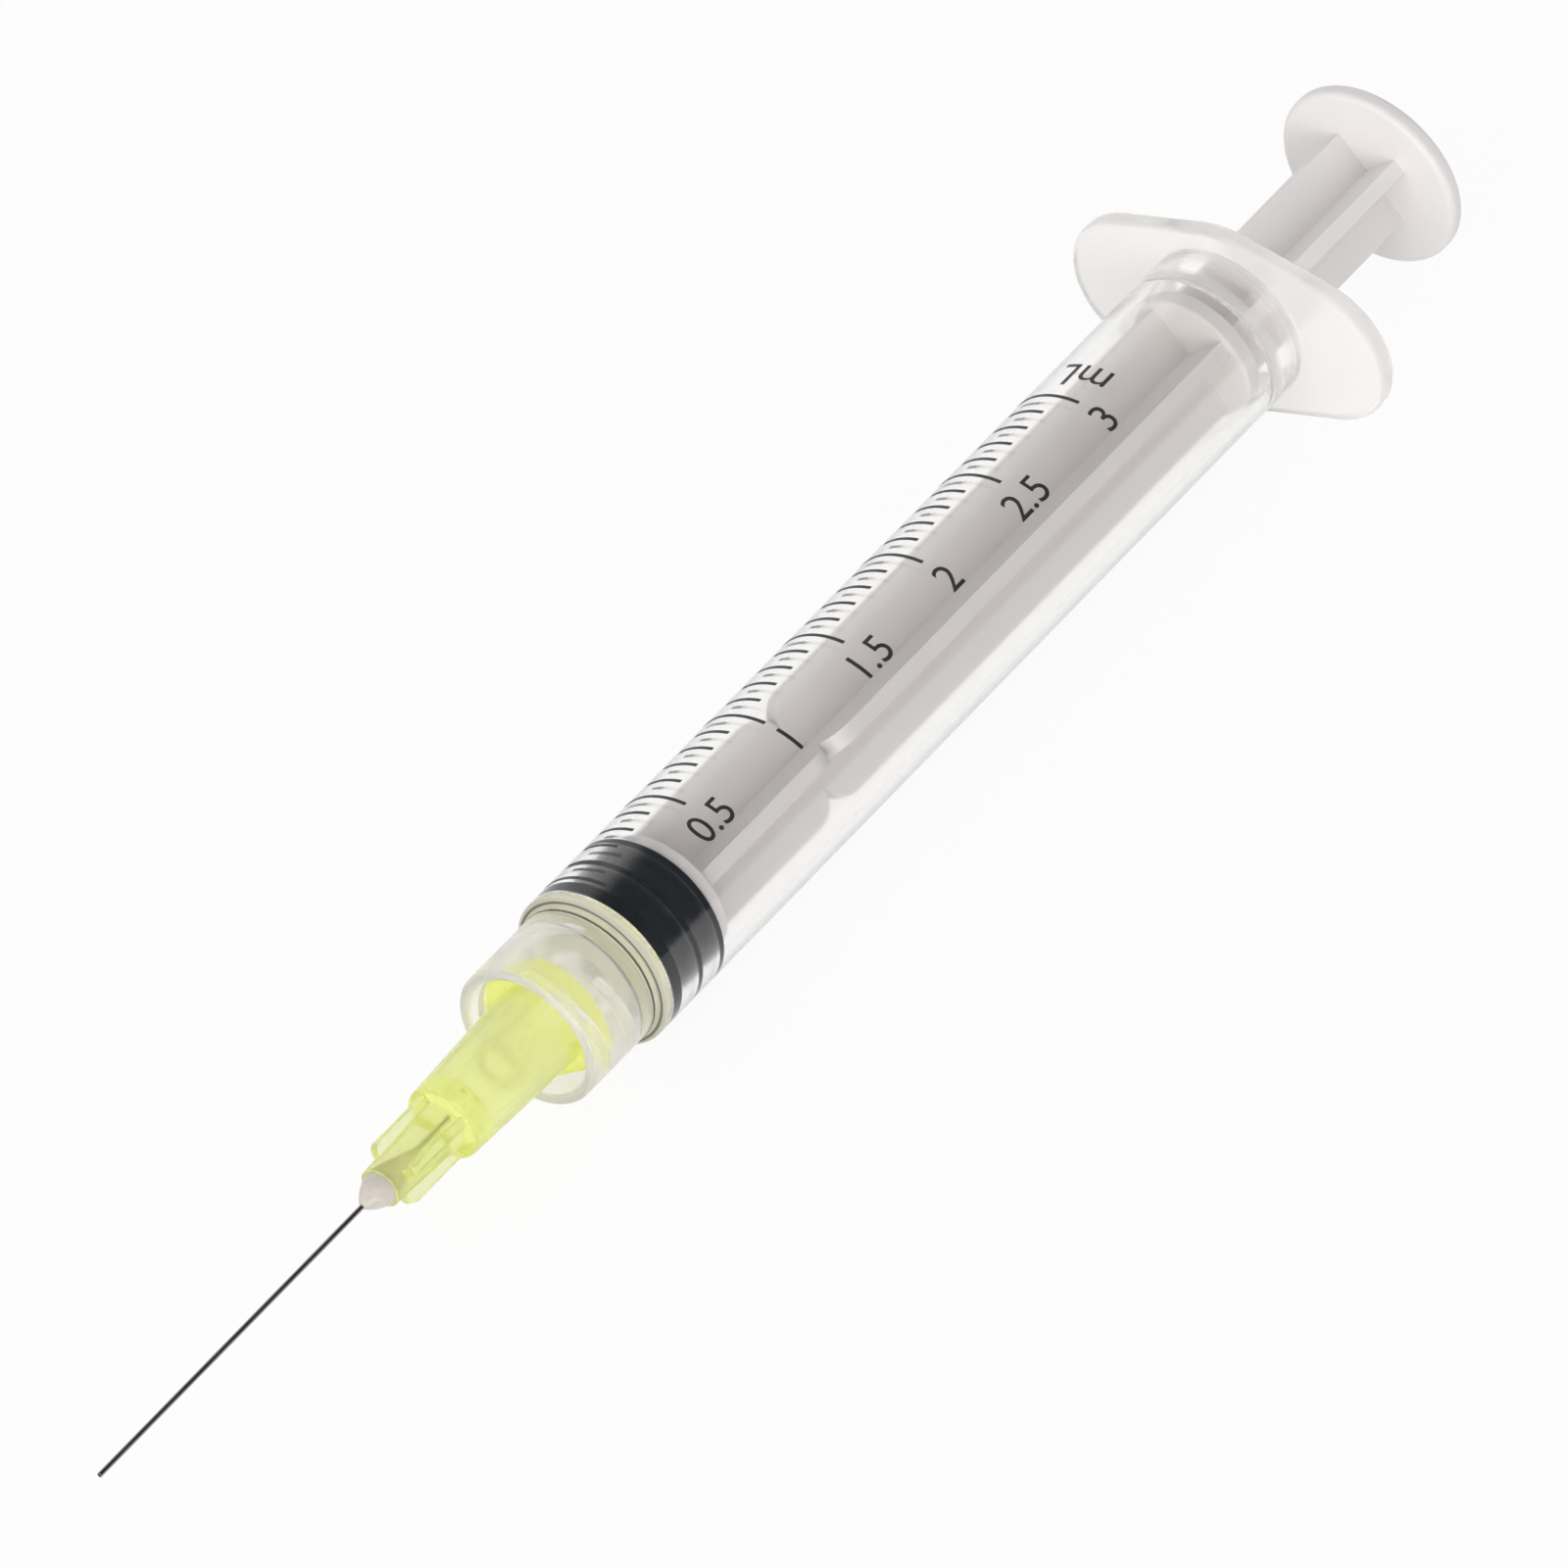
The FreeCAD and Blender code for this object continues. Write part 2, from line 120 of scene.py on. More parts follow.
def combine(tree, operation, first, second):
    node = addNode(tree, "ShaderNodeMath", operation=operation)
    for socket, value in zip(node.inputs, (first, second)):
        if isinstance(value, (int, float)):
            socket.default_value = value
        else:
            tree.links.new(value, socket)
    return node.outputs["Value"]


def blendColours(tree, share, first, second, middle=None):
    ramp = addNode(tree, "ShaderNodeValToRGB")
    ramp.color_ramp.elements[0].color = (*first, 1.0)
    ramp.color_ramp.elements[1].color = (*second, 1.0)
    if middle:
        ramp.color_ramp.elements.new(0.5).color = (*middle, 1.0)
    tree.links.new(share, ramp.inputs["Fac"])
    return ramp.outputs["Color"]


def cloudColour(tree, shader, noise, first, second):
    tree.links.new(blendColours(tree, noise, first, second), shader.inputs["Base Color"])


def cloudRoughness(tree, shader, noise, ends):
    tree.links.new(spread(tree, noise, ends), shader.inputs["Roughness"])


def bumpInto(tree, shader, height, strength, distance):
    bump = addNode(tree, "ShaderNodeBump")
    setInputs(bump, Strength=strength, Distance=distance)
    tree.links.new(height, bump.inputs["Height"])
    tree.links.new(bump.outputs["Normal"], shader.inputs["Normal"])


def axisPosition(tree):
    parts = addNode(tree, "ShaderNodeSeparateXYZ")
    tree.links.new(objectPoint(tree), parts.inputs["Vector"])
    return parts.outputs["X"]


def axisDistance(tree):
    size = addNode(tree, "ShaderNodeVectorMath", operation="LENGTH")
    tree.links.new(objectPoint(tree, (0.0, 1.0, 1.0)), size.inputs[0])
    return size.outputs["Value"]


def band(tree, value, low, high, fade, fadeAfter=None):
    rising = remap(tree, value, low - fade, low, 0.0, 1.0)
    falling = remap(tree, value, high, high + (fadeAfter or fade), 1.0, 0.0)
    return combine(tree, "MULTIPLY", rising, falling)


def laidOver(tree, base, area, share):
    return combine(tree, "MAXIMUM", base, combine(tree, "MULTIPLY", area, share))


def passLamps(tree, shader, tint):
    # shadow rays go straight through, so lamps reach what the clear plastic holds
    path = addNode(tree, "ShaderNodeLightPath")
    clear = addNode(tree, "ShaderNodeBsdfTransparent")
    clear.inputs["Color"].default_value = (*tint, 1.0)
    mix = addNode(tree, "ShaderNodeMixShader")
    tree.links.new(path.outputs["Is Shadow Ray"], mix.inputs["Fac"])
    tree.links.new(shader, mix.inputs[1])
    tree.links.new(clear.outputs["BSDF"], mix.inputs[2])
    tree.links.new(mix.outputs["Shader"], tree.nodes["Material Output"].inputs["Surface"])


def addHaze(tree, shader, colour, share):
    # milky plastic: part of the light is scattered forward and part of it back
    halves = addNode(tree, "ShaderNodeMixShader")
    for index, kind in enumerate(("ShaderNodeBsdfTranslucent", "ShaderNodeBsdfDiffuse")):
        side = addNode(tree, kind)
        tree.links.new(colour, side.inputs["Color"])
        tree.links.new(side.outputs["BSDF"], halves.inputs[index + 1])
    mix = addNode(tree, "ShaderNodeMixShader")
    tree.links.new(share, mix.inputs["Fac"])
    tree.links.new(shader, mix.inputs[1])
    tree.links.new(halves.outputs["Shader"], mix.inputs[2])
    return mix.outputs["Shader"]


def dress(nodeName, mat):
    for slot in nodes[nodeName].material_slots:
        slot.material = mat


def makePiece(bm, name, mat):
    mesh = bpy.data.meshes.new(name)
    bm.to_mesh(mesh)
    bm.free()
    mesh.materials.append(mat)
    piece = bpy.data.objects.new(name, mesh)
    bpy.context.scene.collection.objects.link(piece)
    return piece


# the clear barrel: polished tube, milky flange, collar and shoulder

barrel = {
    "colour": (0.998, 0.990, 0.982),
    "ior": 1.49,
    "tubeRoughness": 0.10,
    "frostedRoughness": 0.18,
    "grainScale": 900.0,
    "grainSpread": (0.9, 1.12),
    "hazeColour": (0.965, 0.948, 0.935),
    "tubeHaze": 0.004,
    "flange": (-0.0014, 0.0002),
    "flangeHaze": 0.42,
    "collar": (-0.0644, -0.0632),
    "collarHaze": 0.21,
    "rim": (-0.0706, -0.07022),
    "rimHaze": 0.5,
    "bead": (-0.0026, -0.0020),
    "beadHaze": 0.32,
    "edgeFade": 0.0002,
    "shoulder": (-0.06402, -0.06362),
    "shoulderFade": (0.0012, 0.0003),
    "shoulderHaze": 0.75,
    "shoulderColour": (0.95, 0.925, 0.77),
    # painted reflection of the black rubber: two dark lines at the collar's root and on the
    # shoulder
    "paintedRootLine": (-0.06448, -0.06434),
    "paintedCornerLine": (0.00484, 0.00499),
    "cornerSpan": (-0.0641, -0.0639),
    "cornerShare": 0.85,
    "lineFade": 0.00003,
    "paintedLineShare": 0.8,
    "paintedLineColour": (0.06, 0.06, 0.05),
    "lampTint": (0.975, 0.97, 0.965),
}


def makeBarrelFinish():
    mat, tree, shader = startMaterial("clearBarrelPlastic")
    shader.inputs["Base Color"].default_value = (*barrel["colour"], 1.0)
    setInputs(shader, Transmission_Weight=1.0, IOR=barrel["ior"])
    along = axisPosition(tree)
    flange = remap(tree, along, *barrel["flange"], 0.0, 1.0)
    collar = remap(tree, along, *barrel["collar"], 1.0, 0.0)
    frosted = combine(tree, "MAXIMUM", flange, collar)
    grain = noiseOn(tree, objectPoint(tree), barrel["grainScale"], detail=4.0)
    base = remap(tree, frosted, 0.0, 1.0, barrel["tubeRoughness"], barrel["frostedRoughness"])
    varied = combine(tree, "MULTIPLY", base, spread(tree, grain, barrel["grainSpread"]))
    tree.links.new(varied, shader.inputs["Roughness"])

    milky = combine(tree, "MULTIPLY", flange, barrel["flangeHaze"])
    milky = laidOver(tree, milky, collar, barrel["collarHaze"])
    milky = combine(tree, "ADD", milky, barrel["tubeHaze"])
    for part in ("rim", "bead"):
        area = band(tree, along, *barrel[part], barrel["edgeFade"])
        milky = laidOver(tree, milky, area, barrel[part + "Haze"])
    shoulder = band(tree, along, *barrel["shoulder"], *barrel["shoulderFade"])
    milky = laidOver(tree, milky, shoulder, barrel["shoulderHaze"])

    # two painted dark lines, a painted reflection of the black rubber at the collar's root and on
    # the shoulder
    fade = barrel["lineFade"]
    root = band(tree, along, *barrel["paintedRootLine"], fade)
    corner = combine(tree, "MULTIPLY", band(tree, axisDistance(tree), *barrel["paintedCornerLine"], fade),
                     band(tree, along, *barrel["cornerSpan"], fade))
    lines = laidOver(tree, root, corner, barrel["cornerShare"])
    milky = laidOver(tree, milky, lines, barrel["paintedLineShare"])
    # on the colour ramp the shoulder lies halfway and the painted dark lines lie at its end
    place = laidOver(tree, lines, shoulder, 0.5)
    colour = blendColours(tree, place, barrel["hazeColour"], barrel["paintedLineColour"],
                          barrel["shoulderColour"])
    clouded = addHaze(tree, shader.outputs["BSDF"], colour, milky)
    passLamps(tree, clouded, barrel["lampTint"])
    return mat


barrelFinish = makeBarrelFinish()
dress("barrel", barrelFinish)
print("barrel finish done")


# the black rubber stopper

stopper = {
    "dark": (0.007, 0.009, 0.012),
    "bloom": (0.020, 0.026, 0.036),
    "roughness": (0.30, 0.48),
    "shine": 0.18,
    "cloudScale": 650.0,
    "speckleScale": 9000.0,
    "speckleStrength": 0.25,
    "speckleDepth": 0.00003,
}


def makeRubberFinish():
    mat, tree, shader = startMaterial("blackStopperRubber")
    point = objectPoint(tree)
    cloud = noiseOn(tree, point, stopper["cloudScale"], detail=4.0, roughness=0.6)
    cloudColour(tree, shader, cloud, stopper["dark"], stopper["bloom"])
    cloudRoughness(tree, shader, cloud, stopper["roughness"])
    speckle = noiseOn(tree, point, stopper["speckleScale"])
    bumpInto(tree, shader, speckle, stopper["speckleStrength"], stopper["speckleDepth"])
    setInputs(shader, Specular_IOR_Level=stopper["shine"])
    return mat


rubberFinish = makeRubberFinish()
dress("stopper", rubberFinish)
print("stopper finish done")


# where the squeezed ribs wet the bore, the wall shows their black right to its edges

contact = {
    "radius": 0.004487,
    "spans": ((-0.06285, -0.06205), (-0.060365, -0.059965), (-0.058265, -0.057865)),
    "stepDegrees": 3.0,
}


def makeContact():
    bm = bmesh.new()
    for front, rear in contact["spans"]:
        ends = [bm.verts.new((x, contact["radius"], 0)) for x in (front, rear)]
        edge = bm.edges.new(ends)
        bmesh.ops.spin(bm, geom=ends + [edge], cent=(0, 0, 0), axis=(1, 0, 0), angle=2 * math.pi,
                       steps=round(360 / contact["stepDegrees"]), use_merge=True)
    bmesh.ops.recalc_face_normals(bm, faces=bm.faces)
    piece = makePiece(bm, "rib_contact", rubberFinish)
    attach(piece, "stopper")


makeContact()
print("rib contact done")


# the white moulded plunger rod

rod = {
    "pale": (0.81, 0.785, 0.778),
    "shade": (0.755, 0.73, 0.722),
    "roughness": (0.34, 0.46),
    "softness": 0.12,
    "softDepth": 0.0009,
    "softColours": (1.0, 0.9, 0.85),
    "flowStretch": (0.16, 1.0, 1.0),
    "flowScale": 260.0,
    "grainScale": 2600.0,
    "grainStrength": 0.12,
    "grainDepth": 0.00004,
}


def makeRodFinish():
    mat, tree, shader = startMaterial("whiteRodPlastic")
    flow = noiseOn(tree, objectPoint(tree, rod["flowStretch"]), rod["flowScale"])
    cloudColour(tree, shader, flow, rod["shade"], rod["pale"])
    grain = noiseOn(tree, objectPoint(tree), rod["grainScale"])
    cloudRoughness(tree, shader, grain, rod["roughness"])
    bumpInto(tree, shader, grain, rod["grainStrength"], rod["grainDepth"])
    setInputs(shader, Subsurface_Weight=rod["softness"], Subsurface_Scale=rod["softDepth"])
    shader.inputs["Subsurface Radius"].default_value = rod["softColours"]
    return mat


dress("plunger_rod", makeRodFinish())
print("rod finish done")


# the lime needle hub

hub = {
    "colour": (0.99, 0.99, 0.95),
    "absorbed": (0.88, 0.925, 0.0),
    "density": 200.0,
    "ior": 1.49,
    "roughness": (0.10, 0.22),
    "cloudStretch": (0.4, 1.0, 1.0),
    "cloudScale": 700.0,
    "cloudStrength": 0.15,
    "cloudDepth": 0.00004,
    "haze": (0.288, 0.352),
    "hazeColour": (0.965, 0.985, 0.55),
    "lugs": (-0.0692, -0.0688),
    "lugHaze": 0.75,
    "lugColour": (0.93, 0.955, 0.20),
    "lampTint": (0.99, 0.995, 0.90),
}


def makeHubFinish():
    mat, tree, shader = startMaterial("limeHubPlastic")
    shader.inputs["Base Color"].default_value = (*hub["colour"], 1.0)
    setInputs(shader, Transmission_Weight=1.0, IOR=hub["ior"])
    cloud = noiseOn(tree, objectPoint(tree, hub["cloudStretch"]), hub["cloudScale"])
    cloudRoughness(tree, shader, cloud, hub["roughness"])
    bumpInto(tree, shader, cloud, hub["cloudStrength"], hub["cloudDepth"])
    lugs = remap(tree, axisPosition(tree), *hub["lugs"], 0.0, 1.0)
    milky = laidOver(tree, spread(tree, cloud, hub["haze"]), lugs, hub["lugHaze"])
    colour = blendColours(tree, lugs, hub["hazeColour"], hub["lugColour"])
    passLamps(tree, addHaze(tree, shader.outputs["BSDF"], colour, milky), hub["lampTint"])
    depth = addNode(tree, "ShaderNodeVolumeAbsorption")
    depth.inputs["Color"].default_value = (*hub["absorbed"], 1.0)
    depth.inputs["Density"].default_value = hub["density"]
    tree.links.new(depth.outputs["Volume"], tree.nodes["Material Output"].inputs["Volume"])
    return mat


dress("needle_hub", makeHubFinish())
print("hub finish done")


# the set adhesive and the steel tube

glue = {
    "pale": (0.84, 0.78, 0.71),
    "shade": (0.53, 0.48, 0.43),
    "roughness": (0.08, 0.2),
    "cloudScale": 1100.0,
    "cloudStrength": 0.3,
    "cloudDepth": 0.00005,
    "softness": 0.3,
    "softDepth": 0.0006,
    "clearness": 0.15,
}


def makeGlueFinish():
    mat, tree, shader = startMaterial("setNeedleAdhesive")
    cloud = noiseOn(tree, objectPoint(tree), glue["cloudScale"])
    cloudColour(tree, shader, cloud, glue["shade"], glue["pale"])
    cloudRoughness(tree, shader, cloud, glue["roughness"])
    bumpInto(tree, shader, cloud, glue["cloudStrength"], glue["cloudDepth"])
    setInputs(shader, Subsurface_Weight=glue["softness"], Subsurface_Scale=glue["softDepth"],
              Transmission_Weight=glue["clearness"])
    return mat


cannula = {
    "light": (0.36, 0.35, 0.345),
    "dark": (0.20, 0.195, 0.19),
    "roughness": (0.24, 0.42),
    "drawnStretch": (0.03, 1.0, 1.0),
    "drawnScale": 16000.0,
    "drawnStrength": 0.2,
    "drawnDepth": 0.000004,
}


def makeSteelFinish():
    mat, tree, shader = startMaterial("drawnNeedleSteel")
    drawn = noiseOn(tree, objectPoint(tree, cannula["drawnStretch"]), cannula["drawnScale"])
    cloudColour(tree, shader, drawn, cannula["dark"], cannula["light"])
    cloudRoughness(tree, shader, drawn, cannula["roughness"])
    bumpInto(tree, shader, drawn, cannula["drawnStrength"], cannula["drawnDepth"])
    setInputs(shader, Metallic=1.0)
    return mat


dress("needle_glue", makeGlueFinish())
dress("cannula", makeSteelFinish())
print("glue and needle finishes done")


# the printed scale: angles run from the top of the barrel (+Z) towards +Y

print3ml = {
    "surface": 0.005225,
    "inkDepth": 0.000012,
    "inkLift": 0.000014,
    "zeroLine": -0.0620,
    "fullLine": -0.01466,
    "halfMillilitres": 6,
    "minorsBetween": 4,
    "lineWidth": 0.00025,
    "majorFrom": -5.5,
    "majorTo": 52.0,
    "minorFrom": 10.5,
    "minorTo": 42.0,
    "numeralHeight": 0.00185,
    "numeralBase": -35.0,
    "unitHeight": 0.0020,
    "unitAfter": 0.0031,
    "unitFrom": -10.0,
    "degreesPerCut": 2.5,
    "cutSpacing": 0.0003,
    "curveSteps": 4,
    "mergeDistance": 0.0005,
    "inkDark": (0.012, 0.012, 0.013),
    "inkLight": (0.05, 0.048, 0.048),
    "inkRoughness": (0.38, 0.6),
    "cloudScale": 2400.0,
    "speckleScale": 12000.0,
    "speckleStrength": 0.2,
    "speckleDepth": 0.000006,
}


def onBarrel(x, angle, lift):
    reach = print3ml["surface"] + lift
    return Vector((x, reach * math.sin(angle), reach * math.cos(angle)))


def addLine(bm, x, fromDegrees, toDegrees):
    start = math.radians(fromDegrees)
    sweep = math.radians(toDegrees - fromDegrees)
    half = print3ml["lineWidth"] / 2
    ends = [bm.verts.new(onBarrel(x + side, start, print3ml["inkLift"])) for side in (-half, half)]
    edge = bm.edges.new(ends)
    steps = max(4, round((toDegrees - fromDegrees) / print3ml["degreesPerCut"]))
    bmesh.ops.spin(bm, geom=ends + [edge], cent=(0, 0, 0), axis=(1, 0, 0), angle=-sweep,
                   steps=steps, use_merge=False)


def flatText(words, height):
    curve = bpy.data.curves.new("inkWords", "FONT")
    curve.body = words
    curve.align_x = "CENTER"
    curve.resolution_u = print3ml["curveSteps"]
    holder = bpy.data.objects.new("inkWords", curve)
    mesh = bpy.data.meshes.new_from_object(holder)
    bm = bmesh.new()
    bm.from_mesh(mesh)
    bmesh.ops.remove_doubles(bm, verts=bm.verts, dist=print3ml["mergeDistance"])
    tall = max(v.co.y for v in bm.verts)
    bmesh.ops.scale(bm, vec=(height / tall,) * 3, verts=bm.verts)
    bpy.data.objects.remove(holder)
    bpy.data.curves.remove(curve)
    bpy.data.meshes.remove(mesh)
    return bm


def cutRows(bm, direction):
    # rows of cuts let flat letters bend round the tube
    reach = [v.co.dot(direction) for v in bm.verts]
    count = math.ceil((max(reach) - min(reach)) / print3ml["cutSpacing"])
    for index in range(1, count):
        level = min(reach) + index * (max(reach) - min(reach)) / count
        bmesh.ops.bisect_plane(bm, geom=bm.verts[:] + bm.edges[:] + bm.faces[:],
                               plane_co=direction * level, plane_no=direction)


def wrapNumeral(words, x):
    bm = flatText(words, print3ml["numeralHeight"])
    cutRows(bm, Vector((0, 1, 0)))
    base = math.radians(print3ml["numeralBase"])
    for v in bm.verts:
        v.co = onBarrel(x + v.co.x, base + v.co.y / print3ml["surface"], print3ml["inkLift"])
    return bm


def wrapUnit(words, x):
    bm = flatText(words, print3ml["unitHeight"])
    cutRows(bm, Vector((1, 0, 0)))
    left = min(v.co.x for v in bm.verts)
    base = math.radians(print3ml["unitFrom"])
    for v in bm.verts:
        angle = base + (v.co.x - left) / print3ml["surface"]
        v.co = onBarrel(x - v.co.y, angle, print3ml["inkLift"])
    return bm


def finishInk(bm, name, mat):
    bmesh.ops.recalc_face_normals(bm, faces=bm.faces)
    for face in bm.faces:
        centre = face.calc_center_median()
        if face.normal.dot(Vector((0, centre.y, centre.z))) < 0:
            face.normal_flip()
    bmesh.ops.solidify(bm, geom=bm.faces[:], thickness=print3ml["inkDepth"])
    piece = makePiece(bm, name, mat)
    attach(piece, "barrel")


def makeInkFinish():
    mat, tree, shader = startMaterial("blackScaleInk")
    point = objectPoint(tree)
    cloud = noiseOn(tree, point, print3ml["cloudScale"], detail=4.0)
    cloudColour(tree, shader, cloud, print3ml["inkDark"], print3ml["inkLight"])
    cloudRoughness(tree, shader, cloud, print3ml["inkRoughness"])
    speckle = noiseOn(tree, point, print3ml["speckleScale"], detail=2.0)
    bumpInto(tree, shader, speckle, print3ml["speckleStrength"], print3ml["speckleDepth"])
    return mat


def printScale():
    ink = makeInkFinish()
    spacing = (print3ml["fullLine"] - print3ml["zeroLine"]) / print3ml["halfMillilitres"]
    lines = bmesh.new()
    for half in range(print3ml["halfMillilitres"] + 1):
        x = print3ml["zeroLine"] + half * spacing
        addLine(lines, x, print3ml["majorFrom"], print3ml["majorTo"])
        if half == print3ml["halfMillilitres"]:
            continue
        for minor in range(1, print3ml["minorsBetween"] + 1):
            step = spacing * minor / (print3ml["minorsBetween"] + 1)
            addLine(lines, x + step, print3ml["minorFrom"], print3ml["minorTo"])
    finishInk(lines, "scale_lines", ink)
    for half in range(1, print3ml["halfMillilitres"] + 1):
        words = f"{half / 2:g}"
        numeral = wrapNumeral(words, print3ml["zeroLine"] + half * spacing)
        finishInk(numeral, "scale_numeral_" + str(half), ink)
    unit = wrapUnit("mL", print3ml["fullLine"] + print3ml["unitAfter"])
    finishInk(unit, "scale_unit", ink)


printScale()
print("printed scale done")


# the lock thread inside the collar, in two starts that leave room for the hub's lugs

lockThread = {
    "root": 0.00408,
    "crest": 0.00352,
    "footWidth": 0.00085,
    "crestWidth": 0.00036,
    "lead": 0.005,
    "starts": 2,
    "firstX": -0.0699,
    "firstAngle": 118.0,
    "spans": ((0.0, 112.0), (196.0, 345.0)),
    "stepDegrees": 6.0,
    "fadeSteps": 6,
    "endHeight": 0.08,
    "crestRound": 0.0001,
}


def ridgeSection(bm, turned, rise, height):
    # one cut through the ridge, across its run, with its crest at a share of the full height
    t = lockThread
    crest = t["root"] - (t["root"] - t["crest"]) * height
    around = Vector((0, math.cos(turned), math.sin(turned)))
    corners = ((t["root"], -t["footWidth"] / 2), (crest, -t["crestWidth"] / 2),
               (crest, t["crestWidth"] / 2), (t["root"], t["footWidth"] / 2))
    return [bm.verts.new(around * r + Vector((rise + dx, 0, 0))) for r, dx in corners]


def addRidge(bm, fromDegrees, toDegrees, turn):
    t = lockThread
    steps = round((toDegrees - fromDegrees) / t["stepDegrees"])
    sections = []
    for index in range(steps + 1):
        degrees = fromDegrees + index * (toDegrees - fromDegrees) / steps
        nearestEnd = min(index, steps - index)
        height = min(1.0, t["endHeight"] + nearestEnd / t["fadeSteps"])
        turned = math.radians(degrees + t["firstAngle"] + turn)
        sections.append(ridgeSection(bm, turned, t["firstX"] + t["lead"] * degrees / 360, height))
    for before, after in zip(sections, sections[1:]):
        for corner in range(4):
            following = (corner + 1) % 4
            bm.faces.new((before[corner], before[following], after[following], after[corner]))
    bm.faces.new(sections[0])
    bm.faces.new(sections[-1])


def makeLockThread():
    bm = bmesh.new()
    for start in range(lockThread["starts"]):
        turn = start * 360 / lockThread["starts"]
        for fromDegrees, toDegrees in lockThread["spans"]:
            addRidge(bm, fromDegrees, toDegrees, turn)
    bmesh.ops.recalc_face_normals(bm, faces=bm.faces)
    piece = makePiece(bm, "lock_thread", barrelFinish)
    bevel = piece.modifiers.new("softCrest", "BEVEL")
    bevel.width = lockThread["crestRound"]
    bevel.segments = 2
    bevel.limit_method = "ANGLE"
    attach(piece, "barrel")


makeLockThread()
print("lock thread done")


# the floor, the world and the lamps

stage = {
    "floorDrop": cadBox[0].z,
    "floorHalf": 6.0,
    "floorColour": (0.86, 0.86, 0.86),
    "shadowShare": 0.07,
    "skyLevel": 0.68,
    "darkSide": (0.0, -0.6225, 0.7826),
    "darkFrom": 0.14,
    "darkTo": 0.5,
    "darkLevel": 0.05,
    "bounces": 24,
}


def seenDirectly(tree):
    # a ray that has left a matt surface sees the plain level, also where glass lies in its way
    path = addNode(tree, "ShaderNodeLightPath")
    first = combine(tree, "MAXIMUM", path.outputs["Is Camera Ray"], path.outputs["Is Glossy Ray"])
    first = combine(tree, "MAXIMUM", first, path.outputs["Is Transmission Ray"])
    fresh = combine(tree, "LESS_THAN", path.outputs["Diffuse Depth"], 0.5)
    return combine(tree, "MULTIPLY", first, fresh)


def makeFloor():
    mat = bpy.data.materials.new("paleFloor")
    mat.use_nodes = True
    tree = mat.node_tree
    tree.nodes.remove(tree.nodes["Principled BSDF"])
    matt = addNode(tree, "ShaderNodeBsdfDiffuse")
    matt.inputs["Color"].default_value = (*stage["floorColour"], 1.0)
    white = addNode(tree, "ShaderNodeEmission")
    shown = addNode(tree, "ShaderNodeMixShader")
    share = combine(tree, "MULTIPLY", seenDirectly(tree), 1.0 - stage["shadowShare"])
    tree.links.new(share, shown.inputs["Fac"])
    tree.links.new(matt.outputs["BSDF"], shown.inputs[1])
    tree.links.new(white.outputs["Emission"], shown.inputs[2])
    tree.links.new(shown.outputs["Shader"], tree.nodes["Material Output"].inputs["Surface"])
    bm = bmesh.new()
    bmesh.ops.create_grid(bm, x_segments=1, y_segments=1, size=stage["floorHalf"])
    bmesh.ops.translate(bm, verts=bm.verts, vec=(0, 0, stage["floorDrop"]))
    floor = makePiece(bm, "studio_floor", mat)


def makeWorld():
    world = bpy.data.worlds.new("studioWorld")
    world.use_nodes = True
    bpy.context.scene.world = world
    tree = world.node_tree
    back = tree.nodes["Background"]
    coords = addNode(tree, "ShaderNodeTexCoord")
    facing = addNode(tree, "ShaderNodeVectorMath", operation="DOT_PRODUCT")
    tree.links.new(coords.outputs["Generated"], facing.inputs[0])
    facing.inputs[1].default_value = stage["darkSide"]
    # glossy rays that run back to the camera's side meet a dim sky, as if the room were dark there
    dimming = remap(tree, facing.outputs["Value"], stage["darkFrom"], stage["darkTo"],
                    0.0, 1.0 - stage["darkLevel"])
    path = addNode(tree, "ShaderNodeLightPath")
    dimmed = combine(tree, "MULTIPLY", path.outputs["Is Glossy Ray"], dimming)
    shown = combine(tree, "SUBTRACT", 1.0, dimmed)
    direct = seenDirectly(tree)
    indirect = combine(tree, "SUBTRACT", 1.0, direct)
    level = combine(tree, "ADD", combine(tree, "MULTIPLY", direct, shown),
                    combine(tree, "MULTIPLY", indirect, stage["skyLevel"]))
    tree.links.new(level, back.inputs["Strength"])
    back.inputs["Color"].default_value = (1.0, 1.0, 1.0, 1.0)


view = {
    "slant": 55.0,
    "roll": 38.5,
    "tilt": 0.007,
    "distance": 2.0,
    "frameWidth": 0.0897,
    "centreX": -0.04526,
    "offCentre": 0.000354,
    "across": 0.694,
    "upward": 0.72,
    "filmWidth": 36.0,
    "clipEnd": 100.0,
}


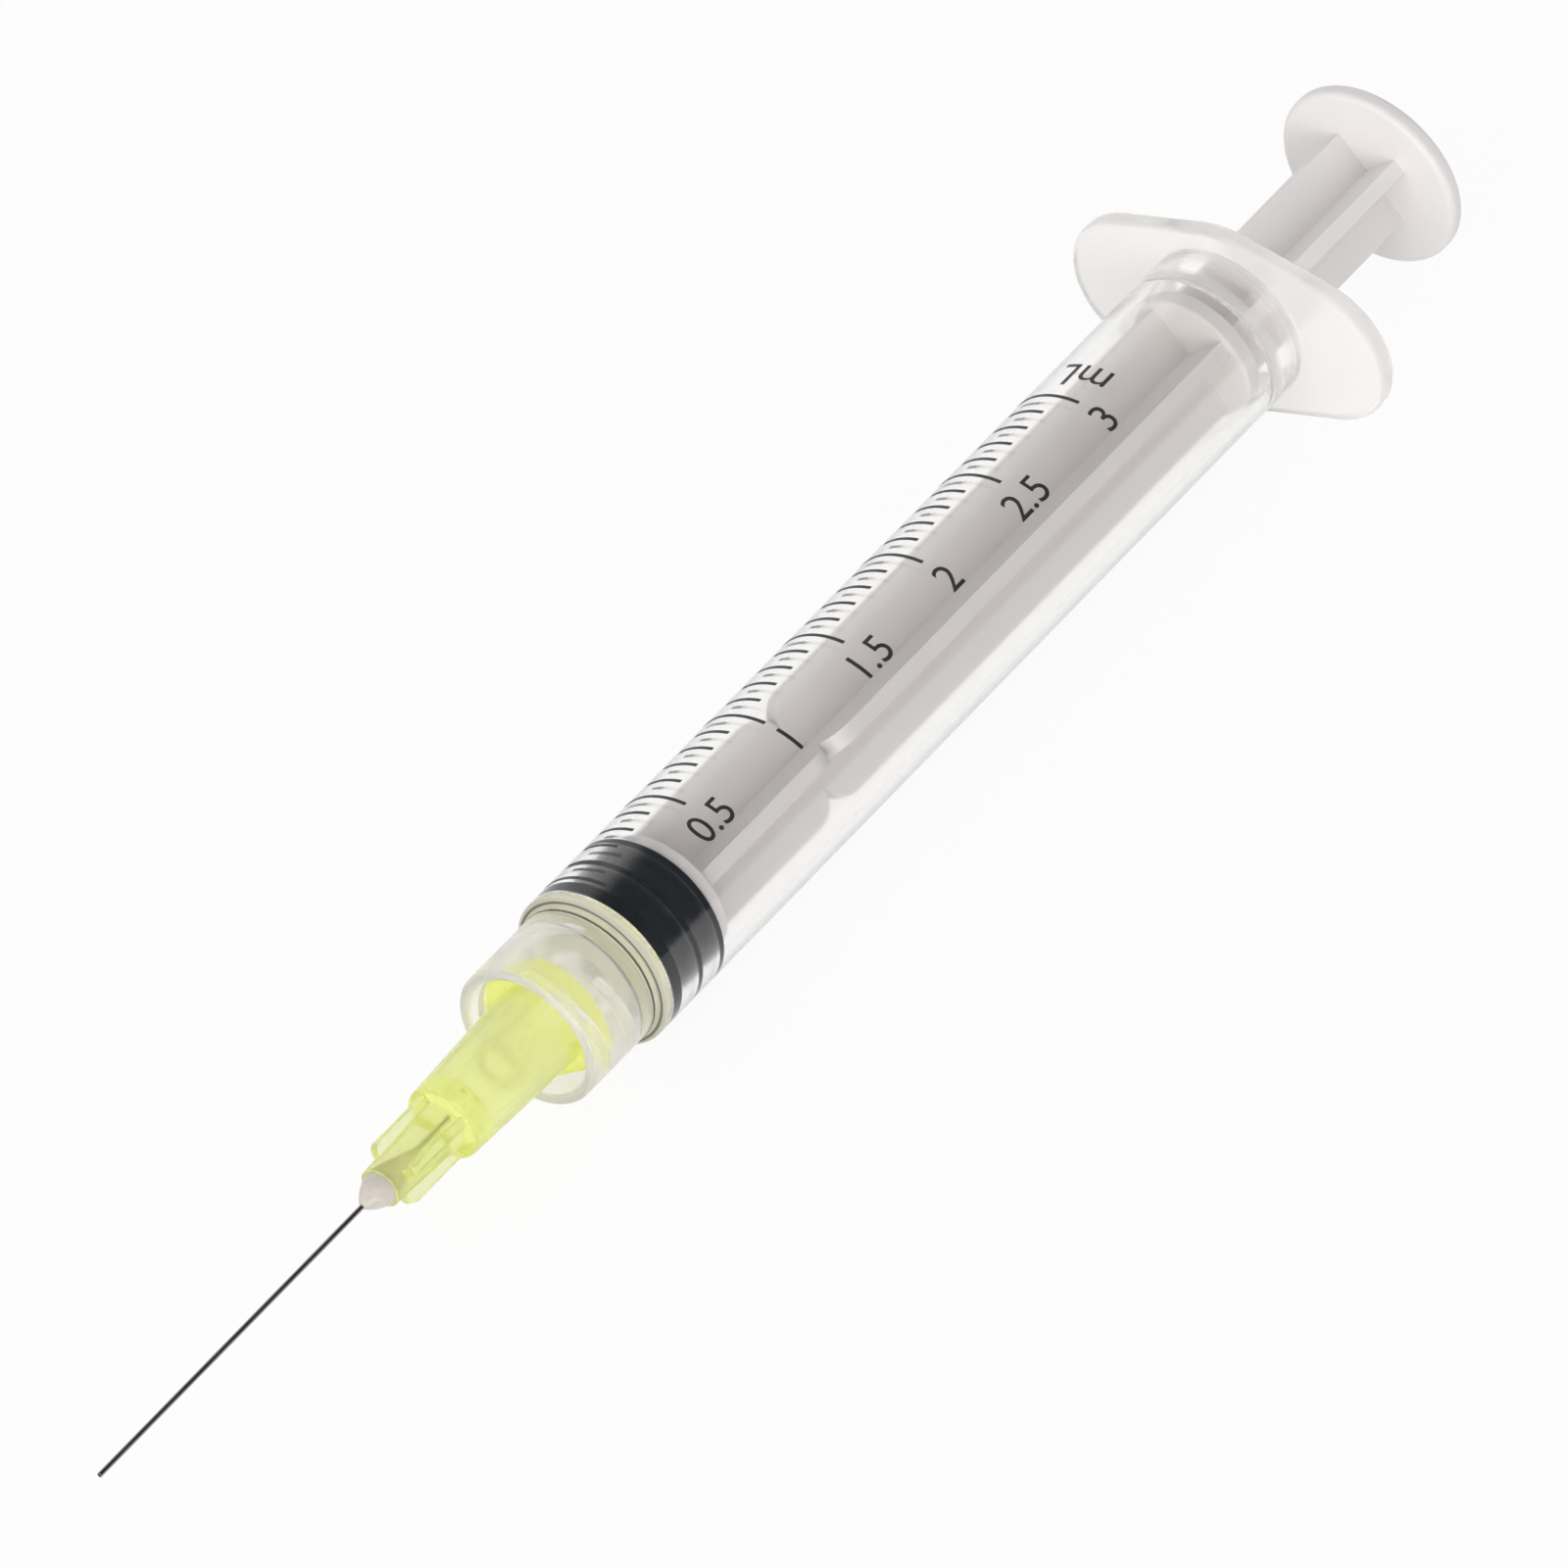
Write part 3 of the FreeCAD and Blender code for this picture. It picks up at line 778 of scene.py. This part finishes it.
def cameraAxes():
    # back points at the camera and beside lies across the syringe, to the picture's lower right
    slant, roll = math.radians(view["slant"]), math.radians(view["roll"])
    back = Vector((-math.cos(slant), -math.sin(slant) * math.sin(roll),
                   math.sin(slant) * math.cos(roll)))
    side = Vector((0, -math.cos(roll), -math.sin(roll)))
    axis = Vector((1, 0, 0))
    flat = (axis - back * axis.dot(back)).normalized()
    along = flat * math.cos(view["tilt"]) - side * math.sin(view["tilt"])
    beside = side * math.cos(view["tilt"]) + flat * math.sin(view["tilt"])
    right = along * view["across"] + beside * view["upward"]
    up = along * view["upward"] - beside * view["across"]
    return right, up, back, beside


def makeCamera():
    right, up, back, beside = cameraAxes()
    data = bpy.data.cameras.new("photoCamera")
    data.sensor_width = view["filmWidth"]
    data.lens = view["filmWidth"] * view["distance"] / view["frameWidth"]
    data.clip_end = view["clipEnd"]
    camera = bpy.data.objects.new("photoCamera", data)
    bpy.context.scene.collection.objects.link(camera)
    target = Vector((view["centreX"], 0, 0)) + beside * view["offCentre"]
    turn = Matrix((right, up, back)).transposed().to_4x4()
    camera.matrix_world = Matrix.Translation(target + back * view["distance"]) @ turn
    bpy.context.scene.camera = camera


lamps = {
    "key": {"level": 0.30, "reach": 0.7, "size": 0.34,
            "towardBack": 1.0, "towardSide": 0.7, "towardAxis": -0.5},
    "fill": {"level": 0.14, "reach": 0.8, "size": 0.5,
             "towardBack": 1.0, "towardSide": -0.7, "towardAxis": -1.2},
    "front": {"level": 0.27, "reach": 0.8, "size": 0.4,
              "towardBack": 0.35, "towardSide": 0.0, "towardAxis": -1.0},
}


def makeLamp(name, spec):
    # level is what a white matt face turned to a small lamp would show,
    # and with lamps as large as these it shows 7 to 12 percent less
    back, beside = cameraAxes()[2:]
    aim = Vector((view["centreX"], 0, 0))
    way = back * spec["towardBack"] + beside * spec["towardSide"]
    way += Vector((spec["towardAxis"], 0, 0))
    way.normalize()
    data = bpy.data.lights.new(name, "AREA")
    data.shape = "SQUARE"
    data.size = spec["size"]
    data.energy = spec["level"] * math.pi ** 2 * spec["reach"] ** 2
    lamp = bpy.data.objects.new(name, data)
    bpy.context.scene.collection.objects.link(lamp)
    lamp.location = aim + way * spec["reach"]
    lamp.rotation_euler = way.to_track_quat("Z", "Y").to_euler()


makeFloor()
makeWorld()
makeCamera()
for lampName, lampSpec in lamps.items():
    makeLamp(lampName + "Lamp", lampSpec)
bpy.context.scene.view_settings.view_transform = "Standard"
bpy.context.scene.cycles.max_bounces = stage["bounces"]
bpy.context.scene.cycles.transmission_bounces = stage["bounces"]
print("stage, camera and lamps done")
